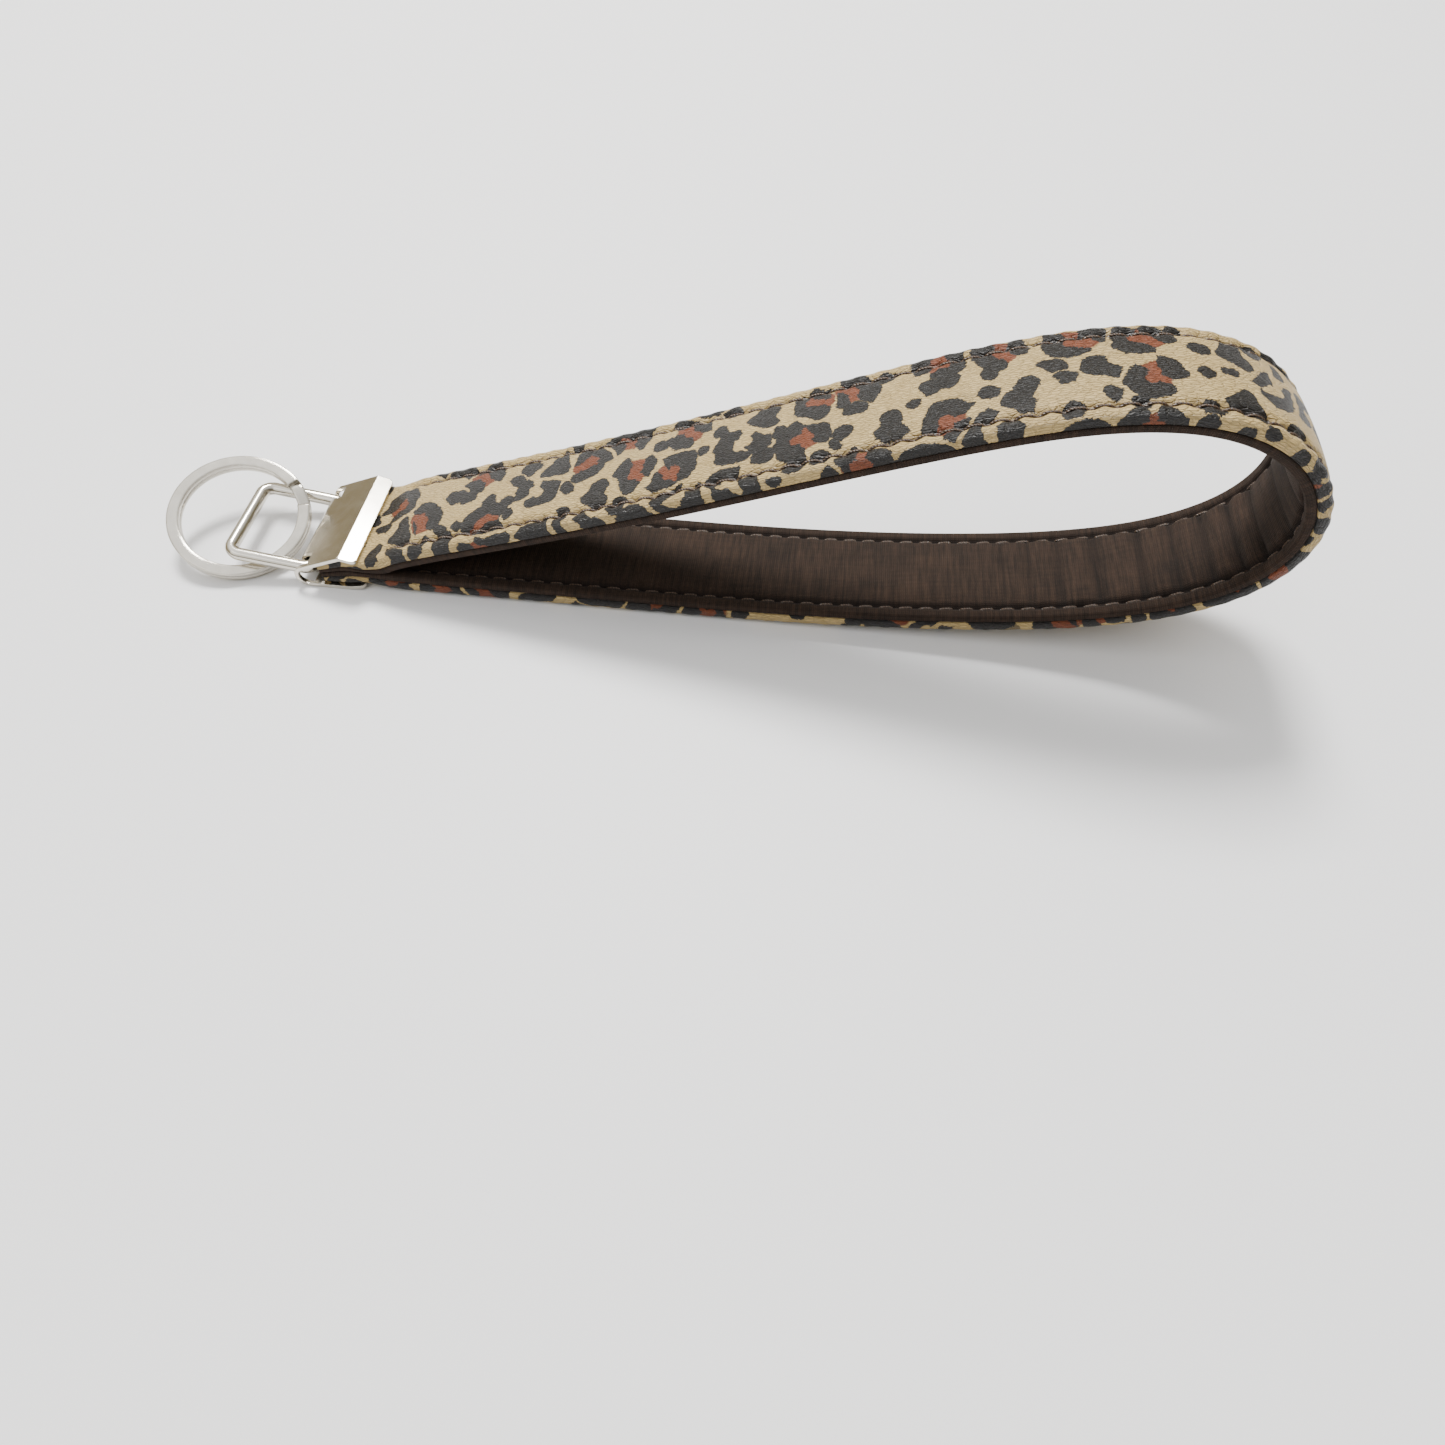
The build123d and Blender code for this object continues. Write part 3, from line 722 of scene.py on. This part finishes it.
# %% lining material
lining_material, lining_tree, lining_shader = node_material("brown_cotton")
s = Sums(lining_tree)
at_mm = s.vector("SCALE", s.place(), 1000.0)
run_mm, wide_mm, _ = s.split(at_mm)
weft = s.math("SINE", s.math("MULTIPLY", run_mm, 2 * np.pi / 0.42))
warp = s.math("SINE", s.math("MULTIPLY", wide_mm, 2 * np.pi / 0.36))
weave = s.math("MULTIPLY_ADD", s.math("MULTIPLY", weft, warp), 0.5,
               s.math("MULTIPLY_ADD", weft, 0.35, s.math("MULTIPLY", warp, 0.25)))
across_way = s.join(s.math("MULTIPLY", run_mm, 1.5), s.math("MULTIPLY", wide_mm, 0.10), 0.0)
slub = s.noise(across_way, 1.0, 4.0, 0.7)
along_way = s.join(s.math("MULTIPLY", run_mm, 0.10), s.math("MULTIPLY", wide_mm, 1.4), 0.0)
long_slub = s.noise(along_way, 1.0, 3.0, 0.6)
blotch = s.noise(at_mm, 0.09, 3.0)
slow_tone = s.math("MULTIPLY_ADD", long_slub, 0.25, s.math("MULTIPLY", blotch, 0.2))
tone = s.math("MULTIPLY_ADD", slub, 0.75, slow_tone)
tone = s.step(s.math("MULTIPLY_ADD", weave, 0.06, tone), 0.35, 0.95)
brown = s.mix(tone, (0.006, 0.0034, 0.0022), (0.050, 0.0280, 0.0172))
# Painted shade: the cloth is darkened in the crease valleys and stitch furrows by the stored share.
brown = s.mix(s.math("MULTIPLY", s.stored("painted_shade"), 0.88), brown, (0.002, 0.001, 0.0007))
lining_tree.links.new(brown, lining_shader.inputs["Base Color"])
lining_shader.inputs["Roughness"].default_value = 0.86
lining_shader.inputs["Specular IOR Level"].default_value = 0.25
lining_shader.inputs["Sheen Weight"].default_value = 0.08
lining_shader.inputs["Sheen Roughness"].default_value = 0.5
lining_shader.inputs["Sheen Tint"].default_value = (0.55, 0.42, 0.34, 1.0)
threads_up = s.math("MULTIPLY_ADD", slub, 1.2, weave)
lining_tree.links.new(s.bump(threads_up, 0.00009, 0.9), lining_shader.inputs["Normal"])
lining.data.materials.append(lining_material)

# %% [markdown]
# Thread and padding. Sewing thread is twisted from plies: a slanting wave along and round it
# gives the twist, as a bump and as painted light and shade: lighter on the crest of each ply,
# darker in the groove between plies. The padding is pale needled fleece, rough all over.

# %% thread and padding materials
thread_material, thread_tree, thread_shader = node_material("brown_thread")
s = Sums(thread_tree)
at_mm = s.vector("SCALE", s.place(), 1000.0)
run_mm, round_mm, _ = s.split(at_mm)
PLY = 0.55                                         # one turn of the twist, mm
round_turn = s.math("MULTIPLY", round_mm, 2 * np.pi)
twist = s.math("SINE", s.math("MULTIPLY_ADD", run_mm, 2 * np.pi / PLY, round_turn))
# Painted light and shade: the colour follows the same wave as the bump, light on the ply crests and
# dark in the grooves.
ply_painted_light = s.math("MULTIPLY_ADD", twist, 0.35, 0.5)
thread_colour = s.mix(ply_painted_light, (0.014, 0.008, 0.005), (0.11, 0.065, 0.038))
thread_tree.links.new(thread_colour, thread_shader.inputs["Base Color"])
thread_shader.inputs["Roughness"].default_value = 0.38
thread_shader.inputs["Specular IOR Level"].default_value = 0.6
thread_tree.links.new(s.bump(twist, 0.00006, 0.8), thread_shader.inputs["Normal"])
for row in threads:
    row.data.materials.append(thread_material)

padding_material, padding_tree, padding_shader = node_material("pale_fleece")
s = Sums(padding_tree)
at_mm = s.vector("SCALE", s.place(), 1000.0)
fleece = s.noise(at_mm, 2.5, 4.0, 0.7)
fleece_colour = s.mix(fleece, (0.42, 0.40, 0.35), (0.72, 0.70, 0.64))
padding_tree.links.new(fleece_colour, padding_shader.inputs["Base Color"])
padding_shader.inputs["Roughness"].default_value = 0.95
padding_tree.links.new(s.bump(fleece, 0.0003, 0.7), padding_shader.inputs["Normal"])
padding.data.materials.append(padding_material)


# %% [markdown]
# Nickel plate is a warm grey mirror. Handling leaves faint hairlines and cloudy patches, so
# the roughness varies over it and a thin bump carries a few fine scratches.

# %% nickel
def nickel(name, brush_along, scratch, round_mm, dull):
    """Metal with cloudy roughness and hairlines stretched along one axis of the object. The
    edges look rolled over by round_mm, as tumbled and plated parts are."""
    material, tree, shader = node_material(name)
    s = Sums(tree)
    at_mm = s.vector("SCALE", s.place("Object"), 1000.0)
    cloudy = s.noise(at_mm, 0.35, 3.0)
    hair = s.noise(s.vector("MULTIPLY", at_mm, brush_along), 1.0, 3.0, 0.7)
    shader.inputs["Metallic"].default_value = 1.0
    tint = s.mix(cloudy, (0.56, 0.52, 0.45), (0.68, 0.65, 0.58))
    tree.links.new(tint, shader.inputs["Base Color"])
    rough = s.math("MULTIPLY_ADD", cloudy, 0.10, s.math("MULTIPLY_ADD", hair, 0.08, dull))
    tree.links.new(rough, shader.inputs["Roughness"])
    rounded = tree.nodes.new("ShaderNodeBevel")
    rounded.inputs["Radius"].default_value = round_mm * MM
    tree.links.new(s.bump(hair, scratch, 0.35, rounded.outputs[0]), shader.inputs["Normal"])
    return material


def finish_metal(node_name, material):
    """Gives a CAD node its material."""
    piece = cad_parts[node_name]
    piece.data.materials.clear()
    piece.data.materials.append(material)
    print(node_name, len(piece.data.polygons), "faces")
    return piece


finish_metal("clamp_shell", nickel("nickel_sheet", (0.15, 3.5, 0.6), 0.0000012, 0.18, 0.09))
finish_metal("wire_loop", nickel("nickel_wire", (1.5, 1.5, 1.5), 0.0000015, 0.05, 0.05))
finish_metal("split_ring", nickel("nickel_ring", (2.0, 2.0, 4.0), 0.0000015, 0.70, 0.06))
